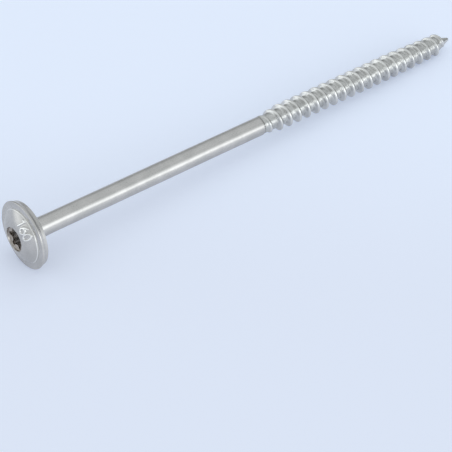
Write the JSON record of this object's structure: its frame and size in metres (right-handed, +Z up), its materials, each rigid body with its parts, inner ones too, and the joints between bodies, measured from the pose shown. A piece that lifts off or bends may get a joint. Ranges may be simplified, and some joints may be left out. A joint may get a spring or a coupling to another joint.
{
  "type": "construction screw",
  "caption": "Washer-head timber screw, 8 mm thread and 160 mm long, with a domed flange head, a six-lobe drive recess, a plain shank and a coarse right-hand wood thread, lying at rest.",
  "frame": {"origin": "bottom centre of the screw's box as it lies on a floor", "axes": "+X from the head to the point, +Z up, -Y front. The screw lies on the rim of its head and on one crest near the point, so its own axis leans about 2.6 degrees down towards +X."},
  "size_m": [0.1649, 0.0206, 0.0206],
  "materials": {
    "steel": "satin stainless steel, rolled and tumbled"
  },
  "bodies": {
    "root": {"screw": "steel"}
  },
  "joints": []
}
